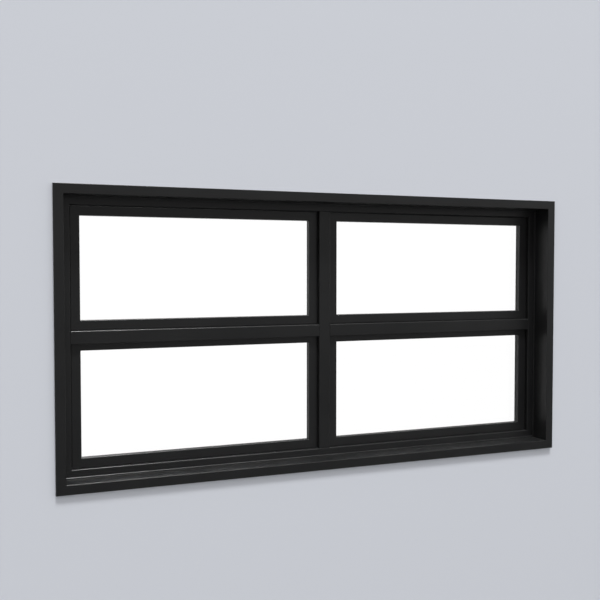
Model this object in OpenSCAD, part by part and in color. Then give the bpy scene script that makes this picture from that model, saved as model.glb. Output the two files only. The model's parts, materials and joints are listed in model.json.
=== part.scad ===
// Awning window of four top-hung sashes in a deep black aluminium surround.
// X runs along the width, Z up, and the outside faces -Y.
// The origin is on the wall plane, in the middle of the window's bottom edge.

/* [Overall size] */
// Width over the surround
window_w = 1800; // [1200:10:3000]
// Height over the surround
window_h = 923; // [800:1:1800]

/* [Surround] */
// Width of the surround's front face
surround_face = 30; // [26:1:60]
// How far the front face stands off the wall
surround_proud = 12; // [8:1:25]
// How far the surround laps onto the wall
surround_lap = 18; // [8:1:20]
// Depth of the reveal, from the front face to the window frame
reveal_d = 73; // [30:1:150]
// Wall thickness of the surround's hollow section
surround_skin = 2.5; // [1.5:0.1:2.8]

/* [Window frame] */
// Width of the rib around the outside of the frame
rib_w = 4; // [3:0.5:8]
// How far the rib stands ahead of the frame's face
rib_proud = 6; // [3:0.5:12]
// Width of the frame, from the surround to the sash opening
frame_face = 26; // [20:1:50]
// Width of the mullion and of the transom on the face
bar_face = 41; // [34:1:80]
// Height of the drip lip below the transom's hollow part
lip_h = 10; // [6:0.5:14]
// Thickness of the drip lip
lip_t = 4; // [3:0.5:8]
// How far the stops reach in behind the sashes
stop_reach = 14; // [12:1:20]
// Thickness of the stops
stop_t = 6; // [4:1:16]
// Wall thickness of the hollow sections
skin = 2; // [1.5:0.1:2.5]

/* [Sashes] */
// Gap around each sash
sash_gap = 2; // [1:0.5:5]
// How far the sash face lies behind the frame's face
sash_set_back = 15; // [4:1:30]
// Width of a rail or a stile on the face
sash_face = 29; // [26:1:50]
// Width of the hollow part of a sash that lies outside the glass
sash_tube = 15; // [11:1:18]
// Thickness of the lip that carries a sash's face out to its edge
sash_lip = 4; // [3:0.5:6]
// Depth of the groove behind that lip, which takes the friction stays
groove_d = 4; // [2:0.5:6]
// Depth of an interior glazing bead
bead_d = 7; // [5:1:16]
// How far a bead stays back from the edge of the glass that shows
bead_in = 7; // [0:1:10]

/* [Glass and rubber] */
// Thickness of the glass
glass_t = 6; // [4:1:24]
// How far the glass lies behind the sash face
glass_set_back = 20.5; // [12:0.5:36]
// Clearance between the glass edge and the sash tube
glass_clear = 3; // [2:0.5:6]
// Thickness of a glazing gasket, in front of and behind the glass
gasket_t = 2.5; // [1:0.5:5]
// Width of the glazing gasket in front of the glass
gasket_w = 6; // [3:0.5:9]
// Thickness of the weather seal between a sash and its stops
seal_t = 2; // [1:0.5:4]
// Width of the weather seal
seal_w = 6; // [3:0.5:8]

/* [Hardware] */
// Length of a friction stay
stay_len = 200; // [120:10:240]
// Depth of a friction stay
stay_d = 16; // [10:1:20]
// Distance of a friction stay below the top of its sash
stay_drop = 20; // [5:1:40]
// Length of a winder's housing
winder_len = 140; // [100:5:200]
// Height of a winder's housing
winder_h = 34; // [26:1:40]
// Depth of a winder's housing
winder_d = 24; // [16:1:40]
// Length of a winder's handle, from its hub to its knob
handle_len = 70; // [50:5:90]
// Distance of a winder's housing below the edge of the stop
winder_clear = 4; // [1:0.5:6]
// Radius of the hub that carries a winder's handle
hub_r = 9; // [6:0.5:12]
// How far the hub stands off the housing
hub_d = 6; // [2:0.5:12]
// Thickness of the handle's arm
arm_t = 5; // [3:0.5:8]
// Width of the handle's arm
arm_w = 11; // [8:0.5:14]
// Radius of a winder's knob
knob_r = 7; // [5:0.5:10]
// Length of a winder's knob
knob_d = 20; // [12:1:30]

/* [Fixings] */
// Radius of a hole for a fixing screw
screw_r = 3; // [2:0.25:4]
// Distance of the jambs' screw holes from the top and bottom edges
jamb_screw_in = 150; // [110:5:250]
// Distance of the head's screw holes from the side edges
head_screw_in = 450; // [200:10:560]
// Distance of the screw holes in front of the stops
screw_ahead = 8; // [5:0.5:10]

/* [Edges] */
// Radius of the exposed edges of the surround, the sashes and the stops
edge_r = 1.5; // [0.5:0.25:1.75]
// Radius of the exposed edges of the frame and of the bars that divide it
frame_r = 2.5; // [0.5:0.25:3]

/* [Hidden] */

black = "#232527";
rubber = "#161718";
steel = "#b4b7ba";
clear_glass = "#dfe9ec";

// Flat steps in the quarter round of an edge
round_steps = 6;
// Sides of the round hardware
round_sides = 48;

// Depths, from the front face to the room side
front_y = -surround_proud;
rib_y = front_y + reveal_d;
face_y = rib_y + rib_proud;
sash_y = face_y + sash_set_back;
glass_y = sash_y + glass_set_back;
bead_y = glass_y + glass_t + gasket_t;
sash_back_y = bead_y + bead_d;
stop_y = sash_back_y + seal_t;
back_y = stop_y + stop_t;
screw_y = stop_y - screw_ahead;

// Insets from the window's outer edge
opening_in = surround_face + frame_face;
stop_in = opening_in + stop_reach;

// Height of the transom's middle, and the bottom of its hollow part
transom_z = window_h / 2;
transom_web_z = transom_z - bar_face / 2 + lip_h;

// Boxes are [left, bottom, width, height], seen from outside
window_box = [-window_w / 2, 0, window_w, window_h];
frame_box = shrink(window_box, surround_face);
opening_w = window_w / 2 - opening_in - bar_face / 2;
upper_z = transom_z + bar_face / 2;
upper_h = window_h - opening_in - upper_z;
lower_h = transom_web_z - opening_in;
left_x = -window_w / 2 + opening_in;
right_x = bar_face / 2;
upper_left = shrink([left_x, upper_z, opening_w, upper_h], sash_gap);
upper_right = shrink([right_x, upper_z, opening_w, upper_h], sash_gap);
lower_left = shrink([left_x, opening_in, opening_w, lower_h], sash_gap);
lower_right = shrink([right_x, opening_in, opening_w, lower_h], sash_gap);

function shrink(box, by) = [box[0] + by, box[1] + by, box[2] - 2 * by, box[3] - 2 * by];
function unit(v) = v / norm(v);

// The points of a quarter round of radius r at a right-angled corner
function corner(before, here, after, r) =
    let (u = unit(before - here), v = unit(after - here))
    r == 0 ? [here] :
    [for (i = [0:round_steps]) let (t = 90 * i / round_steps)
        here + r * (u + v) - r * (cos(t) * v + sin(t) * u)];

// An outline whose points are [x, y, radius of the corner]
function rounded(points) =
    let (n = len(points), flat = [for (p = points) [p[0], p[1]]])
    [for (i = [0:n - 1])
        each corner(flat[(i + n - 1) % n], flat[i], flat[(i + 1) % n], points[i][2])];

// The four sides of a box. Each takes a bar that is drawn as a left side:
// it stands on the box's lower left corner and its section is [inset, depth].
module at_left(box) translate([box[0], 0, box[1]]) children();
module at_right(box) translate([box[0] + box[2], 0, box[1]]) mirror([1, 0, 0]) children();
module at_bottom(box) translate([box[0], 0, box[1]]) mirror([1, 0, -1]) children();
module at_top(box) translate([box[0], 0, box[1] + box[3]]) mirror([0, 0, 1]) mirror([1, 0, -1]) children();

// A bar with its section as the child, and its ends cut at 45 degrees
module mitred_bar(length, reach) {
    intersection() {
        linear_extrude(length) children();
        translate([0, back_y, 0]) rotate([90, 0, 0]) linear_extrude(back_y - front_y)
            polygon([[0, 0], [reach, reach], [reach, length - reach], [0, length]]);
    }
}

// A flat ring round a box, between two insets and two depths
module ring(box, inset_a, inset_b, y_a, y_b) {
    difference() {
        block(shrink(box, inset_a), y_a, y_b);
        block(shrink(box, inset_b), y_a - 1, y_b + 1);
    }
}

module block(box, y_a, y_b) {
    translate([box[0], y_a, box[1]]) cube([box[2], y_b - y_a, box[3]]);
}

// Surround: a lap flange and a deep reveal in one hollow section
module surround_section() {
    s = surround_skin;
    difference() {
        polygon(rounded([
            [0, front_y, edge_r], [surround_face, front_y, edge_r], [surround_face, back_y, 0],
            [surround_lap, back_y, 0], [surround_lap, 0, 0], [0, 0, 0]
        ]));
        polygon([
            [s, front_y + s], [surround_face - s, front_y + s], [surround_face - s, back_y - s],
            [surround_lap + s, back_y - s], [surround_lap + s, -s], [s, -s]
        ]);
    }
}

module surround_bar(length) mitred_bar(length, surround_face) surround_section();

// Frame: a rib, the face, and the stop that closes the sash pocket behind
module frame_section() {
    difference() {
        polygon(rounded([
            [0, rib_y, 0], [rib_w, rib_y, frame_r], [rib_w, face_y, 0],
            [frame_face, face_y, frame_r],
            [frame_face, stop_y, 0], [frame_face + stop_reach, stop_y, edge_r],
            [frame_face + stop_reach, back_y, edge_r], [0, back_y, 0]
        ]));
        polygon([
            [skin, face_y + skin], [frame_face - skin, face_y + skin],
            [frame_face - skin, back_y - skin], [skin, back_y - skin]
        ]);
    }
}

module frame_bar(length) mitred_bar(length, frame_face + stop_reach) frame_section();

// Screw holes through frame and surround, across each jamb and up through the head
module jamb_holes() {
    for (z = [jamb_screw_in, window_h - jamb_screw_in])
        translate([0, screw_y, z]) rotate([0, 90, 0])
            cylinder(h = window_w, r = screw_r, center = true, $fn = round_sides);
}

module head_holes() {
    for (x = [-1, 1] * (window_w / 2 - head_screw_in))
        translate([x, screw_y, window_h / 2])
            cylinder(h = window_h, r = screw_r, $fn = round_sides);
}

module surround_head() color(black) difference() {
    at_top(window_box) surround_bar(window_w);
    head_holes();
}
module surround_sill() color(black) at_bottom(window_box) surround_bar(window_w);
module surround_left_jamb() color(black) difference() {
    at_left(window_box) surround_bar(window_h);
    jamb_holes();
}
module surround_right_jamb() color(black) difference() {
    at_right(window_box) surround_bar(window_h);
    jamb_holes();
}

module frame_head() color(black) difference() {
    at_top(frame_box) frame_bar(frame_box[2]);
    head_holes();
}
module frame_sill() color(black) at_bottom(frame_box) frame_bar(frame_box[2]);
module frame_left_jamb() color(black) difference() {
    at_left(frame_box) frame_bar(frame_box[3]);
    jamb_holes();
}
module frame_right_jamb() color(black) difference() {
    at_right(frame_box) frame_bar(frame_box[3]);
    jamb_holes();
}

// A dividing bar with stops on both sides, which end short where other stops cross them.
// Its hollow part lies between low and high, and lip is how far the face reaches past low.
// The stops are rooted in the back wall of the hollow part.
module dividing_bar(length, low, high, lip) {
    linear_extrude(length) difference() {
        polygon(rounded([
            [low - lip, face_y, frame_r], [high, face_y, frame_r], [high, stop_y, 0], [low, stop_y, 0],
            if (lip > 0) [low, face_y + lip_t, 0],
            if (lip > 0) [low - lip, face_y + lip_t, 0]
        ]));
        polygon([
            [low + skin, face_y + skin], [high - skin, face_y + skin],
            [high - skin, stop_y - skin], [low + skin, stop_y - skin]
        ]);
    }
    stop_len = length - 2 * stop_reach;
    left = low - stop_reach;
    right = high + stop_reach;
    translate([0, 0, stop_reach]) linear_extrude(stop_len) polygon(rounded([
        [left, stop_y, edge_r], [right, stop_y, edge_r], [right, back_y, edge_r], [left, back_y, edge_r]
    ]));
    translate([low, stop_y - skin / 2, stop_reach]) cube([high - low, (stop_t + skin) / 2, stop_len]);
}

module mullion() color(black)
    translate([0, 0, opening_in])
        dividing_bar(window_h - 2 * opening_in, -bar_face / 2, bar_face / 2, 0);

module transom() color(black)
    translate([right_x, 0, transom_z]) mirror([1, 0, -1])
        dividing_bar(opening_w, lip_h - bar_face / 2, bar_face / 2, lip_h);

module left_transom() mirror([1, 0, 0]) transom();
module right_transom() transom();

// Sash: a hollow tube outside the glass, a hollow leg in front of it and a lip at the edge
module sash_section() {
    leg_y = glass_y - gasket_t;
    difference() {
        polygon(rounded([
            [0, sash_y, edge_r], [sash_face, sash_y, edge_r], [sash_face, leg_y, 0],
            [sash_tube, leg_y, 0], [sash_tube, sash_back_y, 0], [groove_d, sash_back_y, 0],
            [groove_d, sash_y + sash_lip, 0], [0, sash_y + sash_lip, 0]
        ]));
        polygon([
            [groove_d + skin, sash_y + skin], [sash_face - skin, sash_y + skin],
            [sash_face - skin, leg_y - skin], [sash_tube - skin, leg_y - skin],
            [sash_tube - skin, sash_back_y - skin], [groove_d + skin, sash_back_y - skin]
        ]);
    }
}

module sash_bar(length) mitred_bar(length, sash_face) sash_section();

module top_rail(sash) color(black) at_top(sash) sash_bar(sash[2]);
module bottom_rail(sash) color(black) at_bottom(sash) sash_bar(sash[2]);
module left_stile(sash) color(black) at_left(sash) sash_bar(sash[3]);
module right_stile(sash) color(black) at_right(sash) sash_bar(sash[3]);

module glass(sash) color(clear_glass)
    block(shrink(sash, sash_tube + glass_clear), glass_y, glass_y + glass_t);

module bead(sash) color(black) ring(sash, sash_tube, sash_face - bead_in, bead_y, sash_back_y);

// The two glazing gaskets of a sash, and the weather seal behind it
module gaskets(sash) color(rubber) {
    seal_in = (groove_d + stop_reach - sash_gap) / 2;
    ring(sash, sash_face - gasket_w, sash_face, glass_y - gasket_t, glass_y);
    ring(sash, sash_tube + glass_clear, sash_face - bead_in, glass_y + glass_t, bead_y);
    ring(sash, seal_in - seal_w / 2, seal_in + seal_w / 2, sash_back_y, stop_y);
}

// Friction stays fill the groove and the gap at both sides of each sash, near its top
module friction_stays() color(steel)
    for (sash = [upper_left, upper_right, lower_left, lower_right])
        for (x = [sash[0] - sash_gap, sash[0] + sash[2] - groove_d])
            translate([x, (sash_y + sash_lip + screw_y - screw_r - stay_d) / 2,
                sash[1] + sash[3] - stay_drop - stay_len])
                cube([sash_gap + groove_d, stay_d, stay_len]);

// Winder: a housing on the room side of the frame, with a folded handle
module winder(sash) {
    r = winder_h / 3;
    x = winder_len / 2;
    z = winder_h / 2;
    centre_z = sash[1] - sash_gap + stop_reach - winder_clear - z;
    translate([sash[0] + sash[2] / 2, back_y, centre_z]) color(black) rotate([-90, 0, 0]) {
        linear_extrude(winder_d) polygon(rounded([[-x, -z, r], [x, -z, r], [x, z, r], [-x, z, r]]));
        translate([handle_len / 2, 0, 0]) {
            cylinder(h = winder_d + hub_d + arm_t, r = hub_r, $fn = round_sides);
            translate([-handle_len, -arm_w / 2, winder_d + hub_d]) cube([handle_len, arm_w, arm_t]);
            translate([-handle_len, 0, winder_d + hub_d])
                cylinder(h = arm_t + knob_d, r = knob_r, $fn = round_sides);
        }
    }
}

surround_head();
surround_sill();
surround_left_jamb();
surround_right_jamb();
frame_head();
frame_sill();
frame_left_jamb();
frame_right_jamb();
mullion();
left_transom();
right_transom();
top_rail(upper_left);  // upper_left_top_rail
bottom_rail(upper_left);  // upper_left_bottom_rail
left_stile(upper_left);  // upper_left_left_stile
right_stile(upper_left);  // upper_left_right_stile
top_rail(upper_right);  // upper_right_top_rail
bottom_rail(upper_right);  // upper_right_bottom_rail
left_stile(upper_right);  // upper_right_left_stile
right_stile(upper_right);  // upper_right_right_stile
top_rail(lower_left);  // lower_left_top_rail
bottom_rail(lower_left);  // lower_left_bottom_rail
left_stile(lower_left);  // lower_left_left_stile
right_stile(lower_left);  // lower_left_right_stile
top_rail(lower_right);  // lower_right_top_rail
bottom_rail(lower_right);  // lower_right_bottom_rail
left_stile(lower_right);  // lower_right_left_stile
right_stile(lower_right);  // lower_right_right_stile
glass(upper_left);  // upper_left_glass
glass(upper_right);  // upper_right_glass
glass(lower_left);  // lower_left_glass
glass(lower_right);  // lower_right_glass
bead(upper_left);  // upper_left_bead
bead(upper_right);  // upper_right_bead
bead(lower_left);  // lower_left_bead
bead(lower_right);  // lower_right_bead
gaskets(upper_left);  // upper_left_gaskets
gaskets(upper_right);  // upper_right_gaskets
gaskets(lower_left);  // lower_left_gaskets
gaskets(lower_right);  // lower_right_gaskets
winder(upper_left);  // upper_left_winder
winder(upper_right);  // upper_right_winder
winder(lower_left);  // lower_left_winder
winder(lower_right);  // lower_right_winder
friction_stays();
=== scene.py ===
import bpy, bmesh, json, math
from mathutils import Matrix, Vector


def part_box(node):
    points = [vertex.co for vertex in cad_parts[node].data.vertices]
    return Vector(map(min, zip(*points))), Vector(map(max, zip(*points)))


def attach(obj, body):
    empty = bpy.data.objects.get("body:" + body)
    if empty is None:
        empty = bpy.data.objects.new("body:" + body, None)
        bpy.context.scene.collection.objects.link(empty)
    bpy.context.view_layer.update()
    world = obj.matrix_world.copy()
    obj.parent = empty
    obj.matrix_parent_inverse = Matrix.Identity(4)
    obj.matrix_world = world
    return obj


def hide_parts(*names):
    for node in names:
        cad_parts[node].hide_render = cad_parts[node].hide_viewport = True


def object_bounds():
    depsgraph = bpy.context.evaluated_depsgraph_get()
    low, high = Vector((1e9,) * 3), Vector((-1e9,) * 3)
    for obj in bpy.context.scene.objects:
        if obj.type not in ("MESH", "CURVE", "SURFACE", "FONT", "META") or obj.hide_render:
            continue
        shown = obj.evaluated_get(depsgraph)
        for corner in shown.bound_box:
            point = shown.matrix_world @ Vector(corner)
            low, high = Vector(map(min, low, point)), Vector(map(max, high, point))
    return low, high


print("Loading the window")
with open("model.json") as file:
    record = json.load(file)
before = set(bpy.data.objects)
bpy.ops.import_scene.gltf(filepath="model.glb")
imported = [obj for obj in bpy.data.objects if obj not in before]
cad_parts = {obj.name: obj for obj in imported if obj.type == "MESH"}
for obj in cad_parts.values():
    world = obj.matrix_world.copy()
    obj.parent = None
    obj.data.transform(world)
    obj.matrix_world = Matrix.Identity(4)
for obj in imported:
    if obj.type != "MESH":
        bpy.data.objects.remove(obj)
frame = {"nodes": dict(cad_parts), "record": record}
nodes = frame["nodes"]
cadLow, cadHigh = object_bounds()

sashNames = ["upper_left", "upper_right", "lower_left", "lower_right"]


# Materials

def newMaterial(name):
    material = bpy.data.materials.new(name)
    material.use_nodes = True
    tree = material.node_tree
    shader = tree.nodes["Principled BSDF"]
    coords = tree.nodes.new("ShaderNodeTexCoord").outputs["Object"]
    return material, tree, shader, coords


def addNoise(tree, coords, scale, detail, stretch=None):
    noise = tree.nodes.new("ShaderNodeTexNoise")
    noise.inputs["Scale"].default_value = scale
    noise.inputs["Detail"].default_value = detail
    if stretch:
        mapping = tree.nodes.new("ShaderNodeMapping")
        mapping.inputs["Scale"].default_value = stretch
        tree.links.new(coords, mapping.inputs["Vector"])
        coords = mapping.outputs["Vector"]
    tree.links.new(coords, noise.inputs["Vector"])
    return noise.outputs["Fac"]


noiseSpan = (0.3, 0.7)      # the noise seldom leaves these values


def addRange(tree, value, low, high, span=noiseSpan):
    node = tree.nodes.new("ShaderNodeMapRange")
    node.inputs["From Min"].default_value = span[0]
    node.inputs["From Max"].default_value = span[1]
    node.inputs["To Min"].default_value = low
    node.inputs["To Max"].default_value = high
    tree.links.new(value, node.inputs["Value"])
    return node.outputs["Result"]


def addColours(tree, value, look):
    ramp = tree.nodes.new("ShaderNodeValToRGB")
    for element, place, colour in zip(ramp.color_ramp.elements, noiseSpan, (look["dark"], look["light"])):
        element.position = place
        element.color = (*colour, 1)
    tree.links.new(value, ramp.inputs["Fac"])
    return ramp.outputs["Color"]


def addBump(tree, shader, height, strength, distance):
    bump = tree.nodes.new("ShaderNodeBump")
    bump.inputs["Strength"].default_value = strength
    bump.inputs["Distance"].default_value = distance
    tree.links.new(height, bump.inputs["Height"])
    tree.links.new(bump.outputs["Normal"], shader.inputs["Normal"])


powderCoat = {
    "dark": (0.0064, 0.0067, 0.0071), "light": (0.0080, 0.0083, 0.0087),
    "roughness": (0.33, 0.39), "gloss": 1.0, "patchScale": 7,
    # The faint orange peel of a baked coat
    "peelScale": 420, "peelHeight": 0.00004, "peelStrength": 0.5,
}

castLook = {
    "dark": (0.0070, 0.0072, 0.0076), "light": (0.0095, 0.0098, 0.0103),
    "roughness": (0.42, 0.50), "gloss": 0.6, "patchScale": 40,
    # A finer, satin grain on cast metal
    "peelScale": 900, "peelHeight": 0.00003, "peelStrength": 0.5,
}


def makeCoat(name, look):
    material, tree, shader, coords = newMaterial(name)
    shader.inputs["Specular IOR Level"].default_value = look["gloss"]
    patches = addNoise(tree, coords, look["patchScale"], 4)
    peel = addNoise(tree, coords, look["peelScale"], 1)
    tree.links.new(addColours(tree, patches, look), shader.inputs["Base Color"])
    tree.links.new(addRange(tree, patches, *look["roughness"]), shader.inputs["Roughness"])
    addBump(tree, shader, peel, look["peelStrength"], look["peelHeight"])
    return material


glassLook = {"ior": 1.45, "smudgeScale": 9, "roughness": (0.0, 0.02)}      # faint smudges


def makeGlass():
    material, tree, shader, coords = newMaterial("clearFloatGlass")
    smudges = addNoise(tree, coords, glassLook["smudgeScale"], 3)
    shader.inputs["Base Color"].default_value = (1, 1, 1, 1)
    shader.inputs["IOR"].default_value = glassLook["ior"]
    shader.inputs["Transmission Weight"].default_value = 1
    tree.links.new(addRange(tree, smudges, *glassLook["roughness"]), shader.inputs["Roughness"])
    return material


rubberLook = {
    "dark": (0.006, 0.006, 0.0065), "light": (0.011, 0.011, 0.0115), "roughness": (0.55, 0.75),
    "grainScale": 180, "grainHeight": 0.00006, "grainStrength": 0.4,
}


def makeRubber():
    material, tree, shader, coords = newMaterial("extrudedRubber")
    grain = addNoise(tree, coords, rubberLook["grainScale"], 3)
    tree.links.new(addColours(tree, grain, rubberLook), shader.inputs["Base Color"])
    tree.links.new(addRange(tree, grain, *rubberLook["roughness"]), shader.inputs["Roughness"])
    addBump(tree, shader, grain, rubberLook["grainStrength"], rubberLook["grainHeight"])
    return material


steelLook = {
    "dark": (0.5, 0.51, 0.52), "light": (0.64, 0.65, 0.66), "roughness": (0.25, 0.42),
    "brushScale": 60, "brushStretch": (60, 60, 1),      # brushed along the stays
}


def makeSteel():
    material, tree, shader, coords = newMaterial("stainlessSteel")
    brushed = addNoise(tree, coords, steelLook["brushScale"], 3, steelLook["brushStretch"])
    shader.inputs["Metallic"].default_value = 1
    tree.links.new(addColours(tree, brushed, steelLook), shader.inputs["Base Color"])
    tree.links.new(addRange(tree, brushed, *steelLook["roughness"]), shader.inputs["Roughness"])
    return material


print("Mixing the finishes")
coatMaterial = makeCoat("blackPowderCoat", powderCoat)
hardwareMaterial = makeCoat("satinCastMetal", castLook)
glassMaterial = makeGlass()
rubberMaterial = makeRubber()
steelMaterial = makeSteel()
finishes = {"black_coat": coatMaterial, "clear_glass": glassMaterial, "black_rubber": rubberMaterial,
            "black_hardware": hardwareMaterial, "stainless_steel": steelMaterial}
slotOf = {part["node"]: part["material_slot"] for part in frame["record"]["subparts"]}
for name, node in nodes.items():
    node.data.materials.clear()
    node.data.materials.append(finishes[slotOf[name]])


# Shapes that the new pieces share

def newOnes(items, before):
    return [item for item in items if item not in before]


def finishMesh(bm, name, material):
    mesh = bpy.data.meshes.new(name)
    bm.to_mesh(mesh)
    bm.free()
    mesh.materials.append(material)
    piece = bpy.data.objects.new(name, mesh)
    bpy.context.scene.collection.objects.link(piece)
    return piece


def finishPiece(bm, name, material, node):
    bmesh.ops.recalc_face_normals(bm, faces=bm.faces[:])
    piece = finishMesh(bm, name, material)
    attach(piece, "root")
    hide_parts(node)


def roundCorners(bm, corners, radius):
    bmesh.ops.bevel(bm, geom=corners, offset=radius, segments=4, profile=0.5, affect="VERTICES",
                    material=-1)


def softenRim(bm, face, radius, steps):
    bmesh.ops.bevel(bm, geom=face.edges[:], offset=radius, segments=steps, profile=0.5, affect="EDGES",
                    material=-1)


def raiseFace(bm, face, along, taper=1.0):
    made = bmesh.ops.extrude_face_region(bm, geom=[face])
    top = [item for item in made["geom"] if isinstance(item, bmesh.types.BMFace)][0]
    if any(len(e.link_faces) > 2 for e in face.edges):
        bmesh.ops.delete(bm, geom=[face], context="FACES_ONLY")      # no wall is left inside the piece
    bmesh.ops.translate(bm, verts=top.verts[:], vec=along)
    bmesh.ops.scale(bm, verts=top.verts[:], vec=(taper, 1, taper),
                    space=Matrix.Translation(-top.calc_center_median()))
    return top


# A plate with rounded corners that fills a box, and thin is the axis of its thickness
def addPlate(bm, low, high, thin, radius):
    across, up = [axis for axis in range(3) if axis != thin]
    before = set(bm.faces)
    corners = []
    for atAcross, atUp in ((low, low), (high, low), (high, high), (low, high)):
        place = Vector(low)
        place[across] = atAcross[across]
        place[up] = atUp[up]
        corners.append(bm.verts.new(place))
    bm.faces.new(corners)
    roundCorners(bm, corners, radius)
    along = Vector((0, 0, 0))
    along[thin] = high[thin] - low[thin]
    return raiseFace(bm, newOnes(bm.faces, before)[0], along)


mergeWithin = 0.000001      # points this close to each other become one


# A round part turned about an axis, from points of (radius, distance along the axis)
def addTurned(bm, points, centre, axis, steps):
    before = set(bm.verts)
    outward = Vector(axis).orthogonal().normalized()
    line = [bm.verts.new(centre + outward * radius + Vector(axis) * along) for radius, along in points]
    edges = [bm.edges.new(pair) for pair in zip(line, line[1:])]
    bmesh.ops.spin(bm, geom=line + edges, cent=centre, axis=axis, angle=math.tau, steps=steps,
                   use_merge=True)
    bmesh.ops.remove_doubles(bm, verts=newOnes(bm.verts, before), dist=mergeWithin)
    return newOnes(bm.verts, before)


startHalf = 0.1      # half the side of the square that a section is first carried round


# A section of (inset, depth, corner radius) points carried round a rectangle, with mitred corners
def sweepRound(bm, section, low, high):
    beforeVerts, beforeEdges, beforeFaces = set(bm.verts), set(bm.edges), set(bm.faces)
    corners = [bm.verts.new((0, depth, inset - startHalf)) for inset, depth, radius in section]
    bm.faces.new(corners)
    for size in sorted({radius for inset, depth, radius in section if radius}):
        roundCorners(bm, [v for v, point in zip(corners, section) if point[2] == size], size)
    outline = newOnes(bm.verts, beforeVerts)
    for v in outline:
        v.co.x = v.co.z                              # leaned over into the plane of the mitre
    bmesh.ops.delete(bm, geom=newOnes(bm.faces, beforeFaces), context="FACES_ONLY")
    bmesh.ops.spin(bm, geom=outline + newOnes(bm.edges, beforeEdges), cent=(0, 0, 0), axis=(0, 1, 0),
                   angle=math.tau, steps=4, use_merge=True)
    middle, reach = (low + high) / 2, (high - low) / 2
    for v in newOnes(bm.verts, beforeVerts):         # and stretched to its size
        v.co.x = middle.x + math.copysign(reach.x - startHalf + abs(v.co.x), v.co.x)
        v.co.z = middle.z + math.copysign(reach.z - startHalf + abs(v.co.z), v.co.z)


# A swept ring cut into four bars, with a fine line between them at each mitre
def openMitres(bm, line, shortest):
    bmesh.ops.split_edges(bm, edges=[e for e in bm.edges if e.calc_length() < shortest])
    bmesh.ops.holes_fill(bm, edges=[e for e in bm.edges if e.is_boundary], sides=0)
    moves = []
    for v in bm.verts:
        run = max(v.link_edges, key=lambda e: e.calc_length()).other_vert(v).co - v.co
        moves.append((v, run.normalized() * line / 2))
    for v, move in moves:
        v.co += move


# Glazing: the rubber round each pane, the seals of each sash, and the beads on the room side

trimShape = {
    "gasketWidth": 0.006, "innerWidth": 0.004, "nose": 0.0006, "noseRadius": 0.0009,
    "sealWidth": 0.006, "sealBase": 0.0008, "bulbWidth": 0.0036, "bulbRadius": 0.0009,
    "flapBack": 0.0012, "flapThick": 0.0016, "flapPlay": 0.0002, "flapRadius": 0.0005,
    "beadWidth": 0.007, "beadRadius": 0.002, "beadEdge": 0.0005,
    "grooveAt": 0.0022, "groove": 0.0008, "grooveEdge": 0.0002,
    "mitreLine": 0.0003, "shortestBar": 0.1,
}


def sashBox(name):
    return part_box(name + "_bottom_rail")[0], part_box(name + "_top_rail")[1]


def sashGap():
    return sashBox("upper_left")[0].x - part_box("friction_stays")[0].x


def makeRubberTrim(name):
    shape = trimShape
    low, high = sashBox(name)
    glassLow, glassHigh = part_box(name + "_glass")
    trimLow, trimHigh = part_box(name + "_gaskets")
    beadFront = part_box(name + "_bead")[0].y
    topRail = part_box(name + "_top_rail")
    face = topRail[1].z - topRail[0].z
    gasketIn, nose, noseRadius = face - shape["gasketWidth"], face + shape["nose"], shape["noseRadius"]
    glassIn = glassLow.x - low.x
    innerNose = glassIn + shape["innerWidth"] + shape["nose"]
    sealIn = trimLow.x - low.x
    sealEnd = sealIn + shape["sealWidth"]
    sealTop = high.y + shape["sealBase"]
    bulbIn = sealIn + (shape["sealWidth"] - shape["bulbWidth"]) / 2
    bulbEnd = bulbIn + shape["bulbWidth"]
    flapFront = low.y + shape["flapBack"]
    flapBack = flapFront + shape["flapThick"]
    bm = bmesh.new()
    # In front of the glass, with a rounded nose that shows past the sash
    sweepRound(bm, [(gasketIn, trimLow.y, 0), (nose, trimLow.y, noseRadius),
                    (nose, glassLow.y, noseRadius), (gasketIn, glassLow.y, 0)], low, high)
    # Behind the glass
    sweepRound(bm, [(glassIn, glassHigh.y, 0), (innerNose, glassHigh.y, noseRadius),
                    (innerNose, beadFront, noseRadius), (glassIn, beadFront, 0)], low, high)
    # Bulb seal between the back of the sash and its stops
    sweepRound(bm, [(sealIn, high.y, 0), (sealEnd, high.y, 0), (sealEnd, sealTop, 0), (bulbEnd, sealTop, 0),
                    (bulbEnd, trimHigh.y, shape["bulbRadius"]), (bulbIn, trimHigh.y, shape["bulbRadius"]),
                    (bulbIn, sealTop, 0), (sealIn, sealTop, 0)], low, high)
    # Flap on the frame that closes the gap round the sash
    play, radius = shape["flapPlay"], shape["flapRadius"]
    sweepRound(bm, [(-sashGap(), flapFront, 0), (-play, flapFront, radius),
                    (-play, flapBack, radius), (-sashGap(), flapBack, 0)], low, high)
    finishPiece(bm, name + "_rubber", rubberMaterial, name + "_gaskets")


def makeBeads(name):
    shape = trimShape
    low, high = sashBox(name)
    beadLow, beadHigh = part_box(name + "_bead")
    front, back = beadLow.y, beadHigh.y
    outer = beadLow.x - low.x
    inner = outer + shape["beadWidth"]
    grooveIn = outer + shape["grooveAt"]
    grooveEnd = grooveIn + shape["groove"]
    grooveFloor = back - shape["groove"]
    edge = shape["grooveEdge"]
    bm = bmesh.new()
    sweepRound(bm, [(outer, front, 0), (inner, front, shape["beadEdge"]), (inner, back, shape["beadRadius"]),
                    (grooveEnd, back, edge), (grooveEnd, grooveFloor, 0),
                    (grooveIn, grooveFloor, 0), (grooveIn, back, edge), (outer, back, 0)], low, high)
    openMitres(bm, shape["mitreLine"], shape["shortestBar"])
    finishPiece(bm, name + "_glazing_beads", coatMaterial, name + "_bead")


print("Glazing the sashes")
for sashName in sashNames:
    makeRubberTrim(sashName)
    makeBeads(sashName)


# Friction stays: a channel on the frame, a strip on the sash and two folded arms between them

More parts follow.
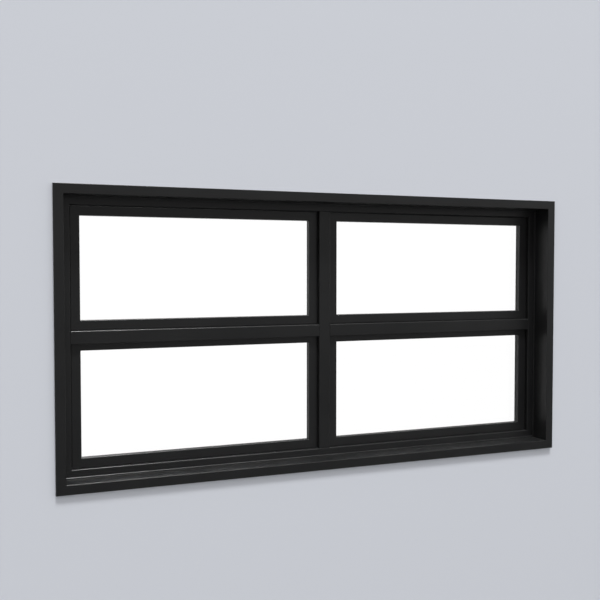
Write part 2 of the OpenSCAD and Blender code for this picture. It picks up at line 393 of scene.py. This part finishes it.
stayShape = {
    "sheet": 0.001, "lip": 0.0026, "edge": 0.001, "armEnds": 0.49,
    # Each strip: from and to across the gap, set in from front and back, bottom, top
    "shoe": (0.0012, 0.0024, 0.0022, 0.012, 0.040),
    "arms": ((0.0018, 0.0032, 0.0030, 0.018, 0.150), (0.0034, 0.0046, 0.0030, 0.062, 0.186)),
    "sashStrip": (0.0048, 0.0060, 0.0010, 0.030, 0.196),
    "rivets": (0.026, 0.070, 0.142, 0.178), "rivetSteps": 20,
    # Each rivet: radius, distance across the gap
    "rivet": ((0, 0.0011), (0.0035, 0.0011), (0.0035, 0.0013), (0.0021, 0.0018),
              (0.0021, 0.0050), (0.0035, 0.0052), (0.0028, 0.0057), (0, 0.0059)),
}


# The channel's base and its two lips in one section, drawn out along its length
def addChannel(bm, corner, side, depth, length):
    sheet, lip = stayShape["sheet"], stayShape["lip"]
    section = [(0, 0), (0, depth), (lip, depth), (lip, depth - sheet),
               (sheet, depth - sheet), (sheet, sheet), (lip, sheet), (lip, 0)]
    corners = [bm.verts.new(corner + Vector((side * across, back, 0))) for across, back in section]
    raiseFace(bm, bm.faces.new(corners), (0, 0, length))


def addStrip(bm, corner, side, depth, strip, radius):
    start, end, setIn, bottom, top = strip
    across = sorted((side * start, side * end))
    addPlate(bm, corner + Vector((across[0], setIn, bottom)),
             corner + Vector((across[1], depth - setIn, top)), 0, radius)


def makeStays():
    shape = stayShape
    stayLow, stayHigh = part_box("friction_stays")
    depth = stayHigh.y - stayLow.y
    drop = sashBox("upper_left")[1].z - stayHigh.z
    length = sashBox("lower_left")[1].z - drop - stayLow.z
    bm = bmesh.new()
    for name in sashNames:
        low, high = sashBox(name)
        for side, frameX in ((1, low.x - sashGap()), (-1, high.x + sashGap())):
            corner = Vector((frameX, stayLow.y, high.z - drop - length))
            addChannel(bm, corner, side, depth, length)
            addStrip(bm, corner, side, depth, shape["shoe"], shape["edge"])
            addStrip(bm, corner, side, depth, shape["sashStrip"], shape["edge"] * 3)
            for arm in shape["arms"]:
                addStrip(bm, corner, side, depth, arm, (depth - 2 * arm[2]) * shape["armEnds"])
            for height in shape["rivets"]:
                centre = corner + Vector((0, depth / 2, height))
                addTurned(bm, shape["rivet"], centre, (side, 0, 0), shape["rivetSteps"])
    finishPiece(bm, "stay_arms_and_tracks", steelMaterial, "friction_stays")


print("Fitting the stays")
makeStays()


# Winders on the room side, each with a base plate, a tapered housing and a folded handle

winderShape = {
    "plate": 0.003, "plateRadius": 0.009, "plateEdge": 0.001,
    "ends": 0.017, "sides": 0.0035, "shoulder": 0.006,
    "depth": 0.024, "taper": 0.88, "housingRadius": 0.008, "edge": 0.0028,
    "hubRadius": 0.009, "hubDepth": 0.006, "hubWaist": 0.86, "capRadius": 0.5, "capHollow": 0.9,
    "seat": 0.001, "chamfer": 0.0008,
    "handle": 0.07, "armWidth": 0.011, "armDepth": 0.005, "armEnds": 0.96,
    "armRim": 0.0015, "armDish": 0.0008,
    # The knob: radius, distance from the underside of the arm
    "knob": ((0, 0.001), (0.0035, 0.001), (0.0035, 0.0065), (0.0055, 0.008), (0.0068, 0.0095),
             (0.007, 0.012), (0.007, 0.016), (0.007, 0.020), (0.0064, 0.0232), (0.0045, 0.025), (0, 0.025)),
    "knobRadius": 0.007, "grips": 8, "gripDepth": 0.07,
    # A screw: radius, distance from the front of the base plate
    "screw": ((0, -0.001), (0.0036, -0.001), (0.0036, 0.0004), (0.0027, 0.0012), (0.00162, 0.0014),
              (0.00144, 0.0002), (0, 0.0002)),
    "hubSteps": 32, "knobSteps": 48, "screwSteps": 24,
}


def makeWinder(name):
    low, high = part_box(name + "_winder")
    bm = bmesh.new()
    addHousing(bm, low, high)
    addHandle(bm, low.y, (low + high) / 2)
    finishPiece(bm, name + "_winder_and_handle", hardwareMaterial, name + "_winder")


# The base plate with its two screws, and the tapered housing on it
def addHousing(bm, low, high):
    shape = winderShape
    front = low.y + shape["plate"]
    plate = addPlate(bm, low, Vector((high.x, front, high.z)), 1, shape["plateRadius"])
    softenRim(bm, plate, shape["plateEdge"], 2)
    inward = Vector((shape["ends"], 0, shape["sides"]))
    shoulder = Vector((high.x, low.y + shape["shoulder"], high.z)) - inward
    top = addPlate(bm, low + inward, shoulder, 1, shape["housingRadius"])
    top = raiseFace(bm, top, (0, shape["depth"] - shape["shoulder"], 0), shape["taper"])
    softenRim(bm, top, shape["edge"], 4)
    for x in (low.x + shape["ends"] / 2, high.x - shape["ends"] / 2):
        centre = Vector((x, front, (low.z + high.z) / 2))
        addTurned(bm, shape["screw"], centre, (0, 1, 0), shape["screwSteps"])


# The hub, and the handle folded back along the housing
def addHandle(bm, wall, middle):
    shape = winderShape
    hubX, knobX = middle.x + shape["handle"] / 2, middle.x - shape["handle"] / 2
    radius, foot, seat, chamfer = shape["hubRadius"], shape["depth"], shape["seat"], shape["chamfer"]
    waist = radius * shape["hubWaist"]
    cap = radius * shape["capRadius"]
    back = foot + shape["hubDepth"]
    front = back + shape["armDepth"]
    addTurned(bm, [(0, foot - seat), (radius, foot - seat), (radius, foot + seat), (waist, foot + seat * 2),
                   (waist, back - seat / 2), (radius, back), (radius, front - chamfer),
                   (radius - chamfer, front), (cap, front), (cap * shape["capHollow"], front - chamfer),
                   (0, front - chamfer)],
              Vector((hubX, wall, middle.z)), (0, 1, 0), shape["hubSteps"])
    armHalf = shape["armWidth"] / 2
    arm = addPlate(bm, Vector((knobX - armHalf, wall + back, middle.z - armHalf)),
                   Vector((hubX, wall + front, middle.z + armHalf)), 1, armHalf * shape["armEnds"])
    bmesh.ops.inset_region(bm, faces=[arm], thickness=shape["armRim"], depth=-shape["armDish"],
                           use_even_offset=True)
    knobFoot = Vector((knobX, wall + back, middle.z))
    for v in addTurned(bm, shape["knob"], knobFoot, (0, 1, 0), shape["knobSteps"]):
        away = v.co - Vector((knobX, v.co.y, middle.z))
        if away.length > shape["knobRadius"] * 0.99:
            dip = 0.5 - 0.5 * math.cos(shape["grips"] * math.atan2(away.z, away.x))
            v.co -= away * shape["gripDepth"] * dip


print("Fitting the winders")
for sashName in sashNames:
    makeWinder(sashName)


# Stage: the wall that the window sits in, and a pale floor below

stageLook = {
    "wallColour": (0.62, 0.64, 0.69), "wallReach": 14.0, "lap": 0.018,
    "floorColour": (0.75, 0.75, 0.76), "floorDrop": 1.0, "floorReach": 14.0,
    "floorBounce": (0.06, 0.06, 0.06),       # what the floor throws back at the window
}


lightLevels = {
    # Sky on the faces, what shiny faces mirror, the white through the glass, and that white mirrored
    "sky": 0.80, "mirrored": 0.09, "behind": 1.06, "behindMirrored": 0.35,
    # Suns, of which those without a shadow lift the recesses
    "key": {"energy": 2.6, "angle": 12, "from": (0.0, -0.37, 0.93), "shadow": True},
    "keyFill": {"energy": 0.8, "angle": 12, "from": (0.0, -0.37, 0.93), "shadow": False},
    "side": {"energy": 0.12, "angle": 30, "from": (0.85, -0.5, 0.2), "shadow": True},
    "front": {"energy": 0.05, "angle": 50, "from": (0.4, -0.92, 0.1), "shadow": False},
    "room": {"energy": 1.6, "angle": 60, "from": (-0.4, 1.0, 0.9), "shadow": True},
}


def mixShaders(tree, switch, no, yes):
    mix = tree.nodes.new("ShaderNodeMixShader")
    tree.links.new(switch, mix.inputs["Fac"])
    tree.links.new(no, mix.inputs[1])
    tree.links.new(yes, mix.inputs[2])
    return mix.outputs["Shader"]


# The strength of the white behind the glass, which the coat mirrors less brightly
def whiteBehind(tree, rays):
    return addRange(tree, rays["Glossy Depth"], lightLevels["behind"], lightLevels["behindMirrored"], (0, 1))


def makeStageMaterial(name, colour, bounce=None):
    material, tree, shader, coords = newMaterial(name)
    shader.inputs["Base Color"].default_value = (*colour, 1)
    shader.inputs["Roughness"].default_value = 1
    shader.inputs["Specular IOR Level"].default_value = 0
    rays = tree.nodes.new("ShaderNodeLightPath").outputs
    surface = shader.outputs["BSDF"]
    if bounce:
        # Dim where it only throws light back, and as white as the background through the glass
        dim = tree.nodes.new("ShaderNodeBsdfDiffuse")
        dim.inputs["Color"].default_value = (*bounce, 1)
        white = tree.nodes.new("ShaderNodeEmission")
        tree.links.new(whiteBehind(tree, rays), white.inputs["Strength"])
        surface = mixShaders(tree, rays["Is Camera Ray"], dim.outputs["BSDF"], surface)
        surface = mixShaders(tree, rays["Is Transmission Ray"], surface, white.outputs["Emission"])
    clear = tree.nodes.new("ShaderNodeBsdfTransparent").outputs["BSDF"]
    behind = tree.nodes.new("ShaderNodeNewGeometry").outputs["Backfacing"]
    surface = mixShaders(tree, behind, surface, clear)
    tree.links.new(surface, tree.nodes["Material Output"].inputs["Surface"])
    return material


def wallOpening():
    lap = stageLook["lap"]
    return Vector((cadLow.x + lap, 0, cadLow.z + lap)), Vector((cadHigh.x - lap, 0, cadHigh.z - lap))


def inside(point, low, high):
    return low.x < point.x < high.x and low.z < point.z < high.z


def makeWall():
    bm = bmesh.new()
    bmesh.ops.create_grid(bm, x_segments=1, y_segments=1, size=stageLook["wallReach"],
                          matrix=Matrix.Rotation(math.radians(90), 4, "X"))
    low, high = wallOpening()
    cuts = [((low.x, 0, 0), (1, 0, 0)), ((high.x, 0, 0), (1, 0, 0)),
            ((0, 0, low.z), (0, 0, 1)), ((0, 0, high.z), (0, 0, 1))]
    for place, normal in cuts:
        bmesh.ops.bisect_plane(bm, geom=bm.verts[:] + bm.edges[:] + bm.faces[:],
                               plane_co=place, plane_no=normal)
    middle = [f for f in bm.faces if inside(f.calc_center_median(), low, high)]
    bmesh.ops.delete(bm, geom=middle, context="FACES")
    finishMesh(bm, "wall", makeStageMaterial("paintedWall", stageLook["wallColour"]))


def makeFloor():
    bm = bmesh.new()
    bmesh.ops.create_grid(bm, x_segments=1, y_segments=1, size=stageLook["floorReach"],
                          matrix=Matrix.Translation((0, 0, -stageLook["floorDrop"])))
    material = makeStageMaterial("paleFloor", stageLook["floorColour"], stageLook["floorBounce"])
    finishMesh(bm, "floor", material)


print("Setting the stage")
makeWall()
makeFloor()


# Camera and light

cameraSetting = {
    "place": (-1.1473, -2.5392, 0.6712), "turn": 22.056, "down": 2.126,
    "lens": 50, "sensor": 36,
}


def makeCamera():
    data = bpy.data.cameras.new("camera")
    data.lens = cameraSetting["lens"]
    data.sensor_width = cameraSetting["sensor"]
    camera = bpy.data.objects.new("camera", data)
    camera.location = cameraSetting["place"]
    tilt, turn = math.radians(90 - cameraSetting["down"]), math.radians(cameraSetting["turn"])
    camera.rotation_euler = (tilt, 0, -turn)
    bpy.context.scene.collection.objects.link(camera)
    bpy.context.scene.camera = camera


def makeSun(name, setting):
    data = bpy.data.lights.new(name, "SUN")
    data.energy = setting["energy"]
    data.angle = math.radians(setting["angle"])
    data.use_shadow = setting["shadow"]
    lamp = bpy.data.objects.new(name, data)
    lamp.rotation_euler = Vector(setting["from"]).to_track_quat("Z", "Y").to_euler()
    bpy.context.scene.collection.objects.link(lamp)


def makeWorld():
    world = bpy.data.worlds.new("studio")
    bpy.context.scene.world = world
    world.use_nodes = True
    tree = world.node_tree
    tree.nodes.clear()
    rays = tree.nodes.new("ShaderNodeLightPath").outputs
    output = tree.nodes.new("ShaderNodeOutputWorld")

    def light(strength):
        node = tree.nodes.new("ShaderNodeBackground")
        node.inputs["Color"].default_value = (1, 1, 1, 1)
        node.inputs["Strength"].default_value = strength
        return node.outputs["Background"]

    # Shiny faces mirror a dim surrounding, as in a dark studio
    sky, mirrored, behind = [light(lightLevels[part]) for part in ("sky", "mirrored", "behind")]
    shader = mixShaders(tree, rays["Is Glossy Ray"], sky, mirrored)
    tree.links.new(whiteBehind(tree, rays), behind.node.inputs["Strength"])
    shader = mixShaders(tree, rays["Is Transmission Ray"], shader, behind)
    shader = mixShaders(tree, rays["Is Camera Ray"], shader, light(1.0))      # plain white
    tree.links.new(shader, output.inputs["Surface"])


print("Placing camera and lights")
makeCamera()
makeWorld()
for lampName in ("key", "keyFill", "side", "front", "room"):
    makeSun(lampName + "Sun", lightLevels[lampName])

bpy.context.scene.view_settings.view_transform = "Standard"

print("Finished")
